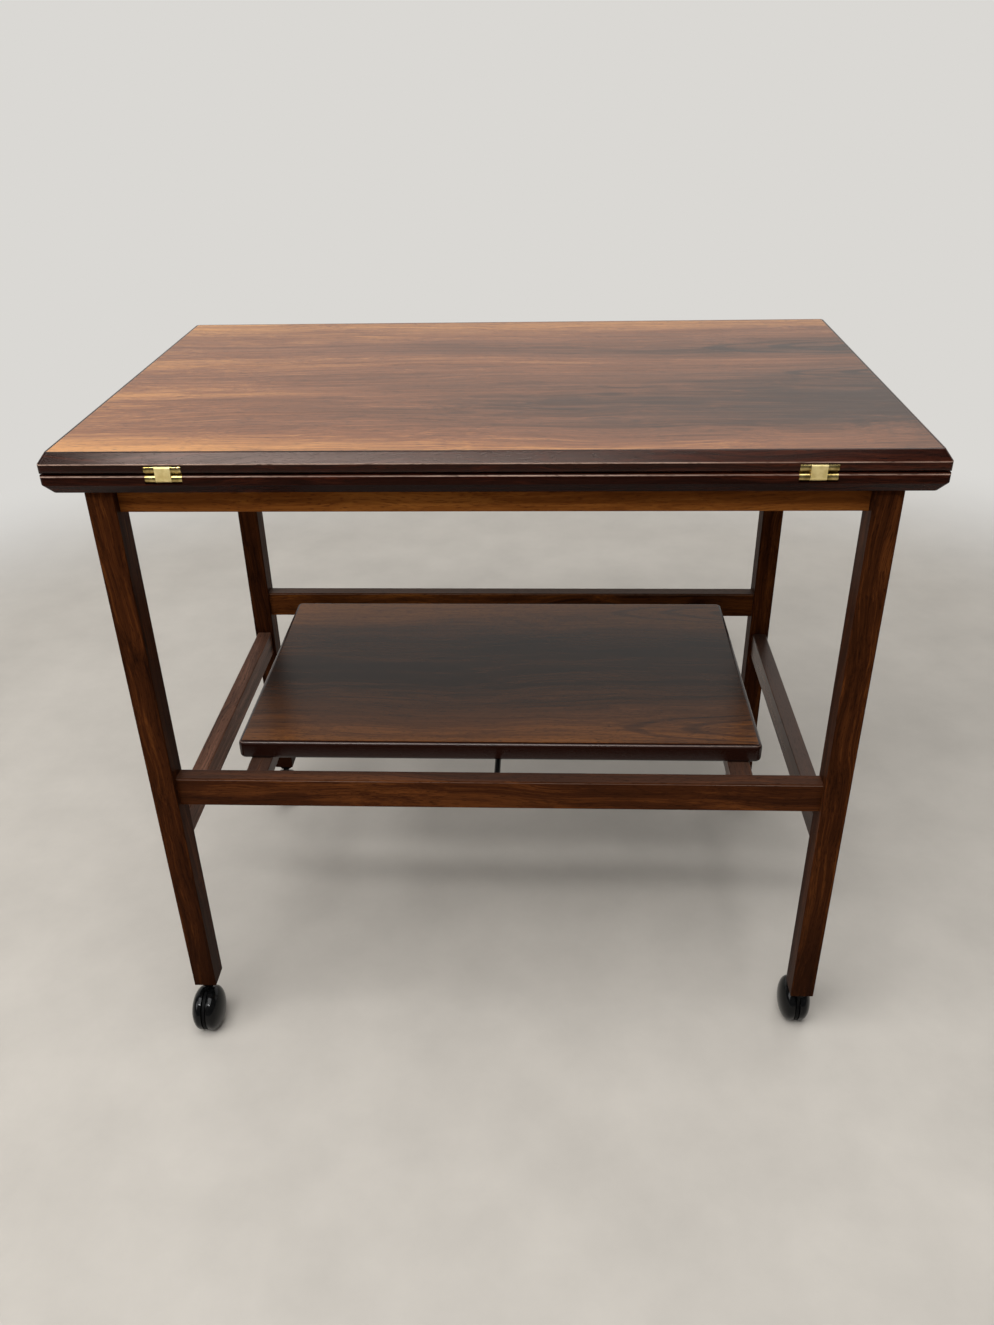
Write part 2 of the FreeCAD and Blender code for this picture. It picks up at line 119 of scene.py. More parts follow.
# Lamps: name, power in watts, width and height, place and aim in metres
LAMPS = (
    ("ceiling_lamp", 52, (2.4, 1.7), (-0.25, -0.9, 2.7), (-0.25, -0.8, 0)),
    ("front_lamp", 31, (1.75, 0.18), (-0.475, -1.95, 2.62), (-0.17, -0.3, 0.6)),
    ("left_lamp", 29, (1.6, 1.6), (-2.4, -1.4, 1.9), (0, 0, 0.4)),
    ("back_lamp", 17, (2.6, 1.0), (0.5, 1.6, 2.9), (0, 0.3, 0.2)),
)
FRAME_WIDTH = 36           # width of the camera's frame in millimetres
FLOOR_REACH = 6.0          # metres from the middle of the floor to its edge, and height of the wall
SWEEP = 0.4                # rounding between floor and wall, in metres
FLOOR_CLOUD = 0.12         # size of the faint clouds in the floor paint, in metres
FLOOR_SHADE = 0.88         # brightness of the darker clouds, as a share of the floor's
FLOOR_DULL = 0.55          # roughness of the paint
WALL_FOOT = 0.2            # height over which the floor's colour turns into the wall's, in metres
HAZE = (1.15, 1.9)         # the floor fades into the wall's colour between these distances, in metres


def linear(code):
    """Linear red, green and blue of an sRGB hex colour."""
    shares = [int(code[i:i + 2], 16) / 255 for i in (1, 3, 5)]
    return tuple(s / 12.92 if s <= 0.04045 else ((s + 0.055) / 1.055) ** 2.4 for s in shares)


def colour(name, description, code):
    """Colour property with an sRGB hex default."""
    return bpy.props.FloatVectorProperty(name=name, description=description, subtype="COLOR",
                                         size=3, min=0, max=1, default=linear(code))


def length(name, description, millimetres):
    """Length property with a default in millimetres."""
    return bpy.props.FloatProperty(name=name, description=description, unit="LENGTH",
                                   min=0, default=millimetres * MM)


class TrolleyTimber(bpy.types.PropertyGroup):
    """Tones and grain of the rosewood."""
    top_pale: colour("Top pale", "Palest tone of the top veneer", "#BC844F")
    top_mid: colour("Top mid", "Middle tone of the top veneer", "#7E5137")
    top_dark: colour("Top dark", "Heart streaks of the top veneer", "#382820")
    tray_pale: colour("Tray pale", "Palest tone of the tray", "#7C4B20")
    tray_mid: colour("Tray mid", "Middle tone of the tray", "#523018")
    tray_dark: colour("Tray dark", "Darkest tone of the tray", "#21130B")
    tray_rim: colour("Tray rim", "Dark lipping round the tray", "#220D07")
    bar_pale: colour("Bar pale", "Palest tone of legs and stretchers", "#613618")
    bar_mid: colour("Bar mid", "Middle tone of legs and stretchers", "#3C1E0D")
    bar_dark: colour("Bar dark", "Darkest tone of legs and stretchers", "#1B0C06")
    # Painted light: the back stretcher is painted in paler copies of the bar tones, standing in for light
    # falling on it
    back_lit_pale: colour("Back pale", "Palest tone of the back stretcher", "#85501F")
    back_lit_mid: colour("Back mid", "Middle tone of the back stretcher", "#552E13")
    # Painted light: the left stretcher is painted paler than the right one, standing in for the light and
    # reflection falling on it from the left
    left_lit_pale: colour("Left pale", "Palest tone of the left stretcher", "#966750")
    left_lit_mid: colour("Left mid", "Middle tone of the left stretcher", "#694331")
    apron_pale: colour("Apron pale", "Palest tone of the aprons", "#8E5826")
    apron_mid: colour("Apron mid", "Middle tone of the aprons", "#6C3D18")
    apron_dark: colour("Apron dark", "Darkest tone of the aprons", "#42210D")
    lip_pale: colour("Lipping pale", "Palest tone of the lippings", "#401B0E")
    lip_mid: colour("Lipping mid", "Middle tone of the lippings", "#200B06")
    lip_dark: colour("Lipping dark", "Darkest tone of the lippings", "#0A0302")
    # Painted sheen: paler grey painted on the upward faces of the rails, standing in for reflected light
    top_sheen: colour("Faded", "Upward faces of the rails, greyed by light and dust", "#54453D")
    # Painted highlight: pale colour painted along the arrises, standing in for light glinting on them
    arris_highlight: colour("Rubbed arris", "Arrises that handling has worn", "#A88C7C")
    amber: colour("Amber", "Tint that the oil gives to reflections on the bars", "#9C6A42")
    glow: colour("Glow", "Tint of the polish on the lippings and side stretchers", "#FFE6DA")
    # Width of the painted highlight along an arris
    highlight_width: length("Rub width", "Width of a rubbed arris", 1.4)
    tray_lip: length("Tray lipping", "Width of the dark lipping round the tray", 4.2)
    # Legs are darker towards the floor, up to this height
    foot: length("Foot", "Height to which floor polish has darkened the legs", 260)
    chamfer: length("Chamfer", "Height of the chamfer round a leaf", 8.5)
    sway: length("Sway", "How far the grain wanders off its line", 16)
    band: length("Band", "Width of the broad bands of colour", 60)
    streak: length("Streak", "Width of a streak", 9)
    line: length("Line", "Width of a grain line", 2.4)
    hair: length("Hair", "Width of the finest grain line", 0.9)
    pore: length("Pore", "Length of an open pore", 9)


class TrolleyMetal(bpy.types.PropertyGroup):
    """Brass, steel and the black parts."""
    brass: colour("Brass", "Polished brass of the plates", "#C4AF76")
    brass_dull: colour("Dull brass", "Polished brass where it has dulled", "#877341")
    link: colour("Link", "Matt brass of the links", "#FFECAE")
    link_dull: colour("Dull link", "Matt brass where it has dulled", "#EED894")
    steel: colour("Steel", "Plain steel", "#8C8C8A")
    black: colour("Black", "Black plastic of the casters", "#060606")
    wheel_edge: length("Wheel edge", "Rounding of the inner edge of a wheel", 0.5)
    wheel_tread: length("Wheel tread", "Straight part of a wheel, inside the dome", 3.2)
    wheel_gap: length("Wheel gap", "From the middle of a caster to the inner face of a wheel", 2.6)


class TrolleyStudio(bpy.types.PropertyGroup):
    """Floor, light and camera."""
    floor: colour("Floor", "Pale floor", "#C2BCB3")
    wall: colour("Wall", "Backdrop above the floor", "#DAD8D4")
    daylight: colour("Daylight", "Colour of the light all round", "#F1F2F4")
    daylight_strength: bpy.props.FloatProperty(
        name="Daylight strength", description="Light all round", min=0, default=0.19)
    wall_place: length("Wall place", "Distance from the trolley to the backdrop", 2100)
    camera_x: bpy.props.FloatProperty(
        name="Camera X", description="Camera to the right", unit="LENGTH", default=0.0481)
    camera_y: bpy.props.FloatProperty(
        name="Camera Y", description="Camera to the back", unit="LENGTH", default=-1.0406)
    camera_z: bpy.props.FloatProperty(
        name="Camera Z", description="Camera above the floor", unit="LENGTH", default=0.9492)
    pitch: bpy.props.FloatProperty(
        name="Pitch", description="Camera tilt, down is negative", unit="ROTATION",
        default=math.radians(-30.27))
    yaw: bpy.props.FloatProperty(
        name="Yaw", description="Camera turn to the left", unit="ROTATION", default=math.radians(3.02))
    roll: bpy.props.FloatProperty(
        name="Roll", description="Camera roll", unit="ROTATION", default=math.radians(1.25))
    lens: bpy.props.FloatProperty(
        name="Lens", description="Focal length in millimetres on a 36 mm frame", default=29.21)


# Materials

def rgba(rgb):
    """Colour with full opacity."""
    return (*rgb, 1.0)


def add(tree, kind, settings, inputs, stops=()):
    """New node with its settings, values or links on its inputs, and the stops of a colour ramp."""
    made = tree.nodes.new(kind)
    for key, value in settings.items():
        setattr(made, key, value)
    for key, value in inputs.items():
        if isinstance(value, bpy.types.NodeSocket):
            tree.links.new(value, made.inputs[key])
        else:
            made.inputs[key].default_value = value
    if stops:
        elements = made.color_ramp.elements
        while len(elements) < len(stops):
            elements.new(1.0)
        for element, (place, tone) in zip(elements, stops):
            element.position = place
            element.color = rgba(tone)
    return made


def per_metre(*sizes):
    """Pattern scale along each axis for features of these sizes in metres."""
    return tuple(1 / size for size in sizes)


def new_material(name):
    """Empty material, its node tree, its principled shader and its coordinates."""
    material = bpy.data.materials.new(name)
    material.use_nodes = True
    tree = material.node_tree
    tree.nodes.clear()
    shader = add(tree, "ShaderNodeBsdfPrincipled", {}, {})
    add(tree, "ShaderNodeOutputMaterial", {}, {"Surface": shader.outputs["BSDF"]})
    place = add(tree, "ShaderNodeTexCoord", {}, {})
    return material, tree, shader, place


class Polish(NamedTuple):
    """Polish of a rosewood surface: its roughness, specular level, tint of reflections and open grain."""
    roughness: float
    gloss: float
    tint: tuple
    grain: float


class Heart(NamedTuple):
    """Heartwood of a board: half its depth and length, and its stripes at the left and right end."""
    half_depth: float
    half_length: float
    left: tuple
    right: tuple


def log_space(tree, place, grain, shift):
    """Place in the log, with the grain along X, at the shift that picks the board's own part of it.
    The grain wanders off its line, slowly and by up to the sway."""
    reach = bpy.context.scene.trolley_timber.sway / NOISE_REACH
    board = add(tree, "ShaderNodeMapping", {}, {"Vector": place.outputs["Object"],
                                                "Rotation": GRAIN_TURN[grain]})
    moved = add(tree, "ShaderNodeVectorMath", {"operation": "ADD"}, {0: board.outputs[0], 1: shift})
    slow = add(tree, "ShaderNodeMapping", {}, {"Vector": moved.outputs[0], "Scale": per_metre(*WANDER)})
    wander = add(tree, "ShaderNodeTexNoise", {}, {"Vector": slow.outputs[0], "Scale": 1.0, "Detail": 3.0})
    centred = add(tree, "ShaderNodeVectorMath", {"operation": "SUBTRACT"},
                  {0: wander.outputs["Color"], 1: (0.5, 0.5, 0.5)})
    sideways = add(tree, "ShaderNodeVectorMath", {"operation": "MULTIPLY"},
                   {0: centred.outputs[0], 1: (0, reach, reach)})
    bent = add(tree, "ShaderNodeVectorMath", {"operation": "ADD"},
               {0: moved.outputs[0], 1: sideways.outputs[0]})
    return bent.outputs[0]


def figure(tree, log, weights, contrast):
    """How dark the bands, streaks, lines and hairs make each place, with the streaks and lines alone."""
    timber = bpy.context.scene.trolley_timber
    layers = []
    total = 0.0
    for (along, width, detail), weight in zip(FIGURE_LAYERS, weights):
        across = getattr(timber, width)
        stretch = add(tree, "ShaderNodeMapping", {}, {"Vector": log,
                                                      "Scale": per_metre(along, across, across)})
        layer = add(tree, "ShaderNodeTexNoise", {}, {"Vector": stretch.outputs[0], "Scale": 1.0,
                                                     "Detail": detail, "Roughness": 0.6})
        layers.append(layer.outputs["Fac"])
        total = add(tree, "ShaderNodeMath", {"operation": "MULTIPLY_ADD"},
                    {0: layers[-1], 1: weight, 2: total}).outputs[0]
    spread = FIGURE_SPREAD / contrast
    depth = add(tree, "ShaderNodeMapRange", {}, {"Value": total, "From Min": 0.5 - spread,
                                                 "From Max": 0.5 + spread})
    return depth.outputs["Result"], layers[1], layers[2]


def heartwood(tree, log, darkness, heart):
    """Darkness with broad stripes across the board that change from its left end to its right."""
    split = add(tree, "ShaderNodeSeparateXYZ", {}, {"Vector": log})
    across = add(tree, "ShaderNodeMapRange", {}, {"Value": split.outputs["Y"], "From Min": -heart.half_depth,
                                                  "From Max": heart.half_depth})
    along = add(tree, "ShaderNodeMapRange", {}, {"Value": split.outputs["X"], "From Min": -heart.half_length,
                                                 "From Max": heart.half_length})
    left, right = (add(tree, "ShaderNodeValToRGB", {}, {"Fac": across.outputs["Result"]},
                       [(place, (dark, dark, dark)) for place, dark in stripes])
                   for stripes in (heart.left, heart.right))
    stripes = add(tree, "ShaderNodeMix", {"data_type": "RGBA"},
                  {0: along.outputs["Result"], 6: left.outputs["Color"], 7: right.outputs["Color"]})
    fine = add(tree, "ShaderNodeMath", {"operation": "MULTIPLY_ADD"},
               {0: darkness, 1: HEART_FIGURE, 2: -HEART_FIGURE / 2})
    both = add(tree, "ShaderNodeMath", {"operation": "ADD"}, {0: stripes.outputs[2], 1: fine.outputs[0]})
    return both.outputs[0]


def arched_figure(tree, log, darkness, arch):
    """Darkness with nested dark lines that open towards one end."""
    along, across, half_length, half_width = arch
    offset = add(tree, "ShaderNodeVectorMath", {"operation": "SUBTRACT"}, {0: log, 1: (along, across, 0)})
    scaled = add(tree, "ShaderNodeVectorMath", {"operation": "MULTIPLY"},
                 {0: offset.outputs[0], 1: (1 / half_length, 1 / half_width, 0)})
    far = add(tree, "ShaderNodeVectorMath", {"operation": "LENGTH"}, {0: scaled.outputs[0]})
    turns = add(tree, "ShaderNodeMath", {"operation": "MULTIPLY"},
                {0: far.outputs["Value"], 1: 2 * math.pi * ARCH_LINES})
    wave = add(tree, "ShaderNodeMath", {"operation": "SINE"}, {0: turns.outputs[0]})
    lines = add(tree, "ShaderNodeMapRange", {"interpolation_type": "SMOOTHSTEP"},
                {"Value": wave.outputs[0], "From Min": 0.2, "From Max": 1.0, "To Max": ARCH_SHADE})
    fade = add(tree, "ShaderNodeMapRange", {"interpolation_type": "SMOOTHSTEP"},
               {"Value": far.outputs["Value"], "From Min": 0.7, "From Max": 1.1,
                "To Min": 1.0, "To Max": 0.0})
    mark = add(tree, "ShaderNodeMath", {"operation": "MULTIPLY_ADD"},
               {0: lines.outputs["Result"], 1: fade.outputs["Result"], 2: darkness})
    return mark.outputs[0]


def dark_lipping(tree, place, tone, corner, rim):
    """Tone with a dark solid lipping round the board, outside this corner."""
    plan = add(tree, "ShaderNodeVectorMath", {"operation": "ABSOLUTE"}, {0: place.outputs["Object"]})
    inset = add(tree, "ShaderNodeVectorMath", {"operation": "SUBTRACT"}, {0: plan.outputs[0], 1: corner})
    sides = add(tree, "ShaderNodeSeparateXYZ", {}, {"Vector": inset.outputs[0]})
    nearest = add(tree, "ShaderNodeMath", {"operation": "MAXIMUM"},
                  {0: sides.outputs["X"], 1: sides.outputs["Y"]})
    outside = add(tree, "ShaderNodeMapRange", {}, {"Value": nearest.outputs[0], "From Max": LIPPING_JOINT})
    lipped = add(tree, "ShaderNodeMix", {"data_type": "RGBA"},
                 {0: outside.outputs["Result"], 6: tone, 7: rgba(rim)})
    return lipped.outputs[2]


def darkened_foot(tree, place, tone, dark, share):
    """Tone of a leg, darker towards its lower end, up to the foot height."""
    height = bpy.context.scene.trolley_timber.foot
    level = add(tree, "ShaderNodeSeparateXYZ", {}, {"Vector": place.outputs["Object"]})
    lower_share = add(tree, "ShaderNodeMapRange", {"interpolation_type": "SMOOTHSTEP"},
                 {"Value": level.outputs["Z"], "From Max": height, "To Min": share, "To Max": 0.0})
    darker_foot_tone = add(tree, "ShaderNodeMix", {"data_type": "RGBA"},
                  {0: lower_share.outputs["Result"], 6: tone, 7: rgba(dark)})
    return darker_foot_tone.outputs[2]


def painted_top_sheen(tree, place, tone, share):
    """Tone of a rail with a painted sheen: its upward face is painted paler and greyer, standing in for the
    reflection of the bright wall.
    """
    sheen_tone = bpy.context.scene.trolley_timber.top_sheen
    facing = add(tree, "ShaderNodeSeparateXYZ", {}, {"Vector": place.outputs["Normal"]})
    upward = add(tree, "ShaderNodeMapRange", {}, {"Value": facing.outputs["Z"], "From Min": UPWARD[0],
                                                  "From Max": UPWARD[1], "To Max": share})
    sheened = add(tree, "ShaderNodeMix", {"data_type": "RGBA"},
                 {0: upward.outputs["Result"], 6: tone, 7: rgba(sheen_tone)})
    return sheened.outputs[2]


def painted_arris_highlight(tree, place, tone, streaks, height, share):
    """Tone with a painted highlight: a paler line at this height along an arris, broken by the grain,
    standing in for light glinting on the rounded arris.
    """
    timber = bpy.context.scene.trolley_timber
    level = add(tree, "ShaderNodeSeparateXYZ", {}, {"Vector": place.outputs["Object"]})
    above = add(tree, "ShaderNodeMath", {"operation": "SUBTRACT"}, {0: level.outputs["Z"], 1: height})
    off = add(tree, "ShaderNodeMath", {"operation": "ABSOLUTE"}, {0: above.outputs[0]})
    near = add(tree, "ShaderNodeMapRange", {"interpolation_type": "SMOOTHSTEP"},
               {"Value": off.outputs[0], "From Max": timber.highlight_width / 2, "To Min": 1.0, "To Max": 0.0})
    wear_and_highlight = add(tree, "ShaderNodeMapRange", {}, {"Value": streaks, "From Min": 0.35, "From Max": 0.6,
                                                "To Min": LEAST_HIGHLIGHT * share, "To Max": share})
    both = add(tree, "ShaderNodeMath", {"operation": "MULTIPLY"},
               {0: near.outputs["Result"], 1: wear_and_highlight.outputs["Result"]})
    pale = add(tree, "ShaderNodeMix", {"data_type": "RGBA"},
               {0: both.outputs[0], 6: tone, 7: rgba(timber.arris_highlight)})
    return pale.outputs[2]


def rosewood(name, grain, tones, shift, polish, contrast=1.0, weights=SOLID_FIGURE, heart=None, arches=(),
             lipping=None, foot=0.0, top_sheen=0.0, arris_highlight=()):
    """Oiled and polished rosewood. Long dark streaks run with the grain over a warm brown, with fine
    lines and open pores between them, under a thin satin polish that softens reflections."""
    material, tree, shader, place = new_material(name)
    log = log_space(tree, place, grain, shift)
    darkness, streaks, lines = figure(tree, log, weights, contrast)
    if heart:
        darkness = heartwood(tree, log, darkness, heart)
    for arch in arches:
        darkness = arched_figure(tree, log, darkness, arch)
    pale, mid, dark = tones
    tone = add(tree, "ShaderNodeValToRGB", {}, {"Fac": darkness},
               [(0.0, pale), (0.45, mid), (1.0, dark)]).outputs["Color"]
    if lipping:
        tone = dark_lipping(tree, place, tone, *lipping)
    if foot:
        tone = darkened_foot(tree, place, tone, dark, foot)
    # Painted sheen on the upward faces
    if top_sheen:
        tone = painted_top_sheen(tree, place, tone, top_sheen)
    # Painted highlights: pale lines painted along arrises
    for height, share in arris_highlight:
        tone = painted_arris_highlight(tree, place, tone, streaks, height, share)

    # Open pores: short dark dashes
    pore = bpy.context.scene.trolley_timber.pore
    dash = add(tree, "ShaderNodeMapping", {}, {"Vector": log,
                                               "Scale": per_metre(pore, PORE_WIDTH, PORE_WIDTH)})
    specks = add(tree, "ShaderNodeTexNoise", {}, {"Vector": dash.outputs[0], "Scale": 1.0, "Detail": 1.0})
    pores = add(tree, "ShaderNodeMapRange", {}, {"Value": specks.outputs["Fac"], "From Min": 0.58,
                                                 "From Max": 0.68, "To Min": 0.0, "To Max": PORE_SHADE})
    pored = add(tree, "ShaderNodeMix", {"data_type": "RGBA"},
                {0: pores.outputs["Result"], 6: tone, 7: rgba(dark)})
    tree.links.new(pored.outputs[2], shader.inputs["Base Color"])

    # The polish is a little duller on the dark streaks, and the lines and pores show in it
    sheen = add(tree, "ShaderNodeMapRange", {}, {"Value": streaks,
                                                 "To Min": polish.roughness + STREAK_SHEEN[0],
                                                 "To Max": polish.roughness + STREAK_SHEEN[1]})
    tree.links.new(sheen.outputs["Result"], shader.inputs["Roughness"])
    relief = add(tree, "ShaderNodeMath", {"operation": "SUBTRACT"}, {0: lines, 1: pores.outputs["Result"]})
    bump = add(tree, "ShaderNodeBump", {}, {"Strength": polish.grain, "Distance": GRAIN_DEPTH,
                                            "Height": relief.outputs[0]})
    tree.links.new(bump.outputs["Normal"], shader.inputs["Normal"])
    shader.inputs["IOR"].default_value = WOOD_IOR
    shader.inputs["Specular IOR Level"].default_value = polish.gloss
    shader.inputs["Specular Tint"].default_value = rgba(polish.tint)
    return material


def brass(name, bright, dim, smooth, rough):
    """Brass, rubbed by hand: bright yellow with soft dull patches and fine rub marks along it."""
    material, tree, shader, place = new_material(name)
    patches = add(tree, "ShaderNodeTexNoise", {}, {"Vector": place.outputs["Object"],
                                                   "Scale": 1 / BRASS_PATCH, "Detail": 3.0})
    tone = add(tree, "ShaderNodeValToRGB", {}, {"Fac": patches.outputs["Fac"]}, [(0.35, dim), (0.6, bright)])
    tree.links.new(tone.outputs["Color"], shader.inputs["Base Color"])
    rub = add(tree, "ShaderNodeMapping", {}, {"Vector": place.outputs["Object"],
                                              "Scale": per_metre(*RUB_MARK)})
    marks = add(tree, "ShaderNodeTexNoise", {}, {"Vector": rub.outputs[0], "Scale": 1.0, "Detail": 2.0})
    dull = add(tree, "ShaderNodeMapRange", {}, {"Value": marks.outputs["Fac"], "To Min": smooth,
                                                "To Max": rough})
    tree.links.new(dull.outputs["Result"], shader.inputs["Roughness"])
    bump = add(tree, "ShaderNodeBump", {}, {"Strength": 0.08, "Distance": RUB_DEPTH,
                                            "Height": marks.outputs["Fac"]})
    tree.links.new(bump.outputs["Normal"], shader.inputs["Normal"])
    shader.inputs["Metallic"].default_value = 1.0
    return material


def plain_steel(name):
    """Drawn steel, left bare: grey with a few dull, darker spots."""
    steel = bpy.context.scene.trolley_metal.steel
    material, tree, shader, place = new_material(name)
    spots = add(tree, "ShaderNodeTexNoise", {}, {"Vector": place.outputs["Object"], "Scale": 1 / STEEL_SPOT,
                                                 "Detail": 3.0})
    dim = tuple(STEEL_SHADE * c for c in steel)
    tone = add(tree, "ShaderNodeValToRGB", {}, {"Fac": spots.outputs["Fac"]}, [(0.35, dim), (0.65, steel)])
    tree.links.new(tone.outputs["Color"], shader.inputs["Base Color"])
    dull = add(tree, "ShaderNodeMapRange", {}, {"Value": spots.outputs["Fac"], "To Min": 0.5, "To Max": 0.25})
    tree.links.new(dull.outputs["Result"], shader.inputs["Roughness"])
    shader.inputs["Metallic"].default_value = 1.0
    return material


def moulded_black(name, roughness, gloss):
    """Moulded black plastic or lacquer: deep black, with faint scuffs that dull it in places."""
    black = bpy.context.scene.trolley_metal.black
    material, tree, shader, place = new_material(name)
    scuffs = add(tree, "ShaderNodeTexNoise", {}, {"Vector": place.outputs["Object"], "Scale": 1 / SCUFF,
                                                  "Detail": 5.0, "Roughness": 0.7})
    wear_and_highlight = tuple(c + SCUFF_GREY for c in black)
    tone = add(tree, "ShaderNodeValToRGB", {}, {"Fac": scuffs.outputs["Fac"]}, [(0.45, black), (0.8, wear_and_highlight)])
    tree.links.new(tone.outputs["Color"], shader.inputs["Base Color"])
    dull = add(tree, "ShaderNodeMapRange", {}, {"Value": scuffs.outputs["Fac"], "From Min": 0.3,
                                                "From Max": 0.8, "To Min": roughness,
                                                "To Max": roughness + SCUFF_DULL})
    tree.links.new(dull.outputs["Result"], shader.inputs["Roughness"])
    shader.inputs["Specular IOR Level"].default_value = gloss
    return material


def floor_paint(name, studio):
    """Matt paint on the floor and wall: pale, faintly clouded on the floor, and plain on the wall."""
    material, tree, shader, place = new_material(name)
    cloud = add(tree, "ShaderNodeTexNoise", {}, {"Vector": place.outputs["Object"], "Scale": 1 / FLOOR_CLOUD,
                                                 "Detail": 5.0, "Roughness": 0.6})
    dim = tuple(FLOOR_SHADE * c for c in studio.floor)
    tone = add(tree, "ShaderNodeValToRGB", {}, {"Fac": cloud.outputs["Fac"]},
               [(0.3, dim), (0.7, studio.floor)])
    split = add(tree, "ShaderNodeSeparateXYZ", {}, {"Vector": place.outputs["Object"]})
    rise = add(tree, "ShaderNodeMapRange", {}, {"Value": split.outputs["Z"], "From Max": WALL_FOOT})
    painted = add(tree, "ShaderNodeMix", {"data_type": "RGBA"},
                  {0: rise.outputs["Result"], 6: tone.outputs["Color"], 7: rgba(studio.wall)})
    tree.links.new(painted.outputs[2], shader.inputs["Base Color"])
    shader.inputs["Roughness"].default_value = FLOOR_DULL

    # The wall shows at its own brightness to the camera and in reflections, and lights nothing
    ray = add(tree, "ShaderNodeLightPath", {}, {})
    seen = add(tree, "ShaderNodeMath", {"operation": "MAXIMUM"},
               {0: ray.outputs["Is Camera Ray"], 1: ray.outputs["Is Glossy Ray"]})
    wall = add(tree, "ShaderNodeMath", {"operation": "MULTIPLY"},
               {0: seen.outputs[0], 1: rise.outputs["Result"]})

    # The floor fades into it, away from the trolley
    away = add(tree, "ShaderNodeVectorMath", {"operation": "LENGTH"}, {0: place.outputs["Object"]})
    fade = add(tree, "ShaderNodeMapRange", {"interpolation_type": "SMOOTHSTEP"},
               {"Value": away.outputs["Value"], "From Min": HAZE[0], "From Max": HAZE[1]})
    haze = add(tree, "ShaderNodeMath", {"operation": "MULTIPLY"},
               {0: ray.outputs["Is Camera Ray"], 1: fade.outputs["Result"]})
    share = add(tree, "ShaderNodeMath", {"operation": "MAXIMUM"}, {0: wall.outputs[0], 1: haze.outputs[0]})
    glow = add(tree, "ShaderNodeEmission", {}, {"Color": rgba(studio.wall)})
    mixed = add(tree, "ShaderNodeMixShader", {},
                {0: share.outputs[0], 1: shader.outputs["BSDF"], 2: glow.outputs["Emission"]})
    tree.links.new(mixed.outputs[0], tree.nodes["Material Output"].inputs["Surface"])
    return material


def dress(material, *nodes):
    """The material on these pieces of the frame."""
    for name in nodes:
        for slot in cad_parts[name].material_slots:
            slot.material = material


# Modelling

def deselect():
    bpy.ops.object.select_all(action="DESELECT")


def pick(piece, kind, test):
    """Selects the faces or edges of a piece in edit mode that pass a test, and no others."""
    bpy.ops.mesh.select_mode(type=kind)
    bpy.ops.mesh.select_all(action="DESELECT")
    shape = bmesh.from_edit_mesh(piece.data)
    for element in shape.faces if kind == "FACE" else shape.edges:
        if test(element):
            element.select_set(True)
    bmesh.update_edit_mesh(piece.data)


def domed_disc(name, inner_x, outer_x, centre, radius):
    """Wheel disc about an axis along X: flat inside, a straight tread, and domed like a lens outside."""
    metal = bpy.context.scene.trolley_metal
    side = math.copysign(1, outer_x - inner_x)
    rim_x = inner_x + side * metal.wheel_tread
    deselect()
    bpy.ops.mesh.primitive_uv_sphere_add(segments=WHEEL_SEGMENTS, ring_count=WHEEL_SEGMENTS // 2,
                                         radius=radius, location=(rim_x, *centre),
                                         rotation=(0, math.pi / 2, 0),
                                         scale=(1, 1, abs(outer_x - rim_x) / radius))
    disc = bpy.context.object
    disc.name = name
    bpy.ops.object.transform_apply(location=True, rotation=True, scale=True)
    bpy.ops.object.mode_set(mode="EDIT")
    pick(disc, "FACE", lambda f: side * (f.calc_center_median().x - rim_x) < 0)
    bpy.ops.mesh.delete(type="FACE")
    pick(disc, "EDGE", lambda e: e.is_boundary)
    bpy.ops.mesh.extrude_region_move(TRANSFORM_OT_translate={"value": (inner_x - rim_x, 0, 0)})
    pick(disc, "EDGE", lambda e: e.is_boundary)
    bpy.ops.mesh.edge_face_add()
    pick(disc, "EDGE", lambda e: all(abs(v.co.x - inner_x) < TOUCH for v in e.verts))
    bpy.ops.mesh.bevel(offset=metal.wheel_edge, segments=3, profile=0.5, affect="EDGES")
    bpy.ops.mesh.select_all(action="SELECT")
    bpy.ops.mesh.normals_make_consistent(inside=False)
    bpy.ops.object.mode_set(mode="OBJECT")
    return disc


# Operators

class TROLLEY_OT_top(bpy.types.Operator):
    """Veneer the two leaves and finish their lippings"""
    bl_idname = "trolley.top"
    bl_label = "Top leaves"

    def execute(self, context):
        timber = context.scene.trolley_timber
        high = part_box("upper_leaf_panel")[1]
        heart = Heart(high.y, high.x, TOP_HEART_LEFT, TOP_HEART_RIGHT)
        satin = Polish(roughness=0.34, gloss=0.45, tint=WHITE, grain=0.12)
        tones = (timber.top_pale, timber.top_mid, timber.top_dark)
        dress(rosewood("Rosewood veneer top", "X", tones, LOG_PLACES["top"], satin, contrast=1.3,
                       weights=VENEER_FIGURE, heart=heart, arches=TOP_ARCHES), "upper_leaf_panel")
        dress(rosewood("Rosewood veneer inner leaf", "X", tones, LOG_PLACES["inner leaf"], satin,
                       contrast=1.3, weights=VENEER_FIGURE, heart=heart), "lower_leaf_panel")
        tones = (timber.lip_pale, timber.lip_mid, timber.lip_dark)
        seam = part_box("lower_leaf_panel")[1].z
        # Painted highlights along the arris under the chamfer and along the top arris of the lower leaf
        arrises = ((high.z - timber.chamfer, 1.0), (seam - timber.highlight_width, 1.0))
        # The upper leaf is handled and polished more than the lower one
        for leaf, gloss in (("upper", 0.22), ("lower", 0.09)):
            polish = Polish(roughness=0.17, gloss=gloss, tint=timber.glow, grain=0.03)
            long_lip = rosewood(f"Rosewood {leaf} lipping long", "X", tones, LOG_PLACES["long lipping"],
                                polish, contrast=1.2, arris_highlight=arrises)
            short_lip = rosewood(f"Rosewood {leaf} lipping short", "Y", tones, LOG_PLACES["short lipping"],
                                 polish, contrast=1.2, arris_highlight=arrises)
            for side in LEAF_SIDES:
                lipping = long_lip if side in ("front", "back") else short_lip
                dress(lipping, f"{leaf}_leaf_lipping_{side}")
        return {"FINISHED"}


